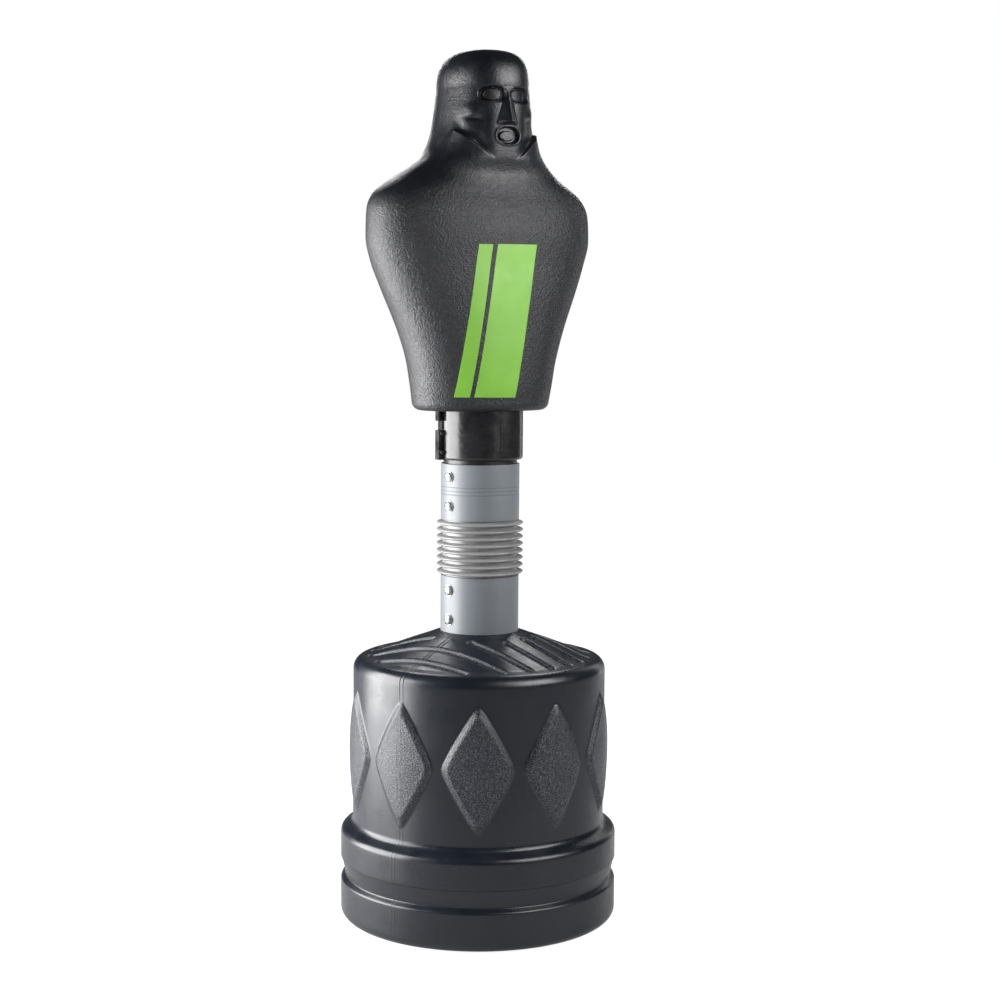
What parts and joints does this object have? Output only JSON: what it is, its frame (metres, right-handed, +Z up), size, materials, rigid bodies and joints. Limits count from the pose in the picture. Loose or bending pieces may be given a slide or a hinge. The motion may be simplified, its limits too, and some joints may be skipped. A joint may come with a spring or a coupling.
{
  "type": "free-standing punching bag",
  "caption": "Free-standing heavy punching bag: padded head-and-torso on a sprung neck with a rubber bellows, standing on a hollow round ballast tank.",
  "frame": {"origin": "on the floor, on the axis of the neck", "axes": "+Z up along the neck, the face and chest look along -Y, +X is the bag's own left side"},
  "size_m": [0.5669, 0.567, 1.757],
  "materials": {
    "tank_plastic": "satin",
    "cap_plastic": "satin",
    "seal_rubber": "matte",
    "zinc_steel": "satin",
    "post_steel": "satin",
    "sleeve_plastic": "satin",
    "seat_aluminium": "satin",
    "spring_steel": "satin",
    "bellows_rubber": "satin",
    "clamp_plastic": "satin",
    "core_plastic": "matte",
    "foam": "matte",
    "torso_vinyl": "satin",
    "stripe_green": "satin"
  },
  "bodies": {
    "base": {"base_tank": "tank_plastic", "anchor_bolt": "zinc_steel", "anchor_washer": "zinc_steel", "anchor_nut": "zinc_steel", "base_post": "post_steel", "lower_sleeve": "sleeve_plastic", "lower_screws": "zinc_steel", "lower_washers": "zinc_steel", "lower_nuts": "zinc_steel", "lower_spring_seat": "seat_aluminium", "lower_spring_clamp": "zinc_steel", "lower_seat_bolt": "zinc_steel", "lower_seat_nut": "zinc_steel"},
    "cap_seal": {"filler_gasket": "seal_rubber"},
    "cap": {"filler_cap": "cap_plastic"},
    "flex": {"coil_spring": "spring_steel", "bellows": "bellows_rubber"},
    "torso": {"upper_spring_seat": "seat_aluminium", "upper_spring_clamp": "zinc_steel", "upper_seat_bolt": "zinc_steel", "upper_seat_nut": "zinc_steel", "upper_sleeve": "sleeve_plastic", "upper_screws": "zinc_steel", "upper_washers": "zinc_steel", "upper_nuts": "zinc_steel", "upper_post": "post_steel", "neck_clamp_front": "clamp_plastic", "neck_clamp_rear": "clamp_plastic", "clamp_bolts": "post_steel", "clamp_nuts": "post_steel", "torso_core": "core_plastic", "torso_foam": "foam", "torso_skin": "torso_vinyl", "narrow_stripe": "stripe_green", "wide_stripe": "stripe_green"}
  },
  "joints": [
    {"name": "neck_pitch", "type": "hinge", "parent": "base", "child": "flex", "pos_m": [0, 0, 0.7339], "axis": [1, 0, 0], "range_deg": [-12, 12], "stiffness_Nm_per_rad": 520, "deforming": ["coil_spring", "bellows"]},
    {"name": "neck_roll", "type": "hinge", "parent": "flex", "child": "torso", "pos_m": [0, 0, 0.7911], "axis": [0, 1, 0], "range_deg": [-12, 12], "stiffness_Nm_per_rad": 520, "deforming": ["coil_spring", "bellows"]},
    {"name": "cap_lift", "type": "slide", "parent": "base", "child": "cap_seal", "axis": [0.1682, 0.3164, 0.9336], "range_m": [0, 0.01]},
    {"name": "cap_turn", "type": "hinge", "parent": "cap_seal", "child": "cap", "pos_m": [0.07746, 0.14569, 0.56], "axis": [0.1682, 0.3164, 0.9336], "range_deg": [0, 900]}
  ],
  "couplings": [
    {"joint": "cap_turn", "follows": "cap_lift", "rad_per_m": 1570.8}
  ]
}
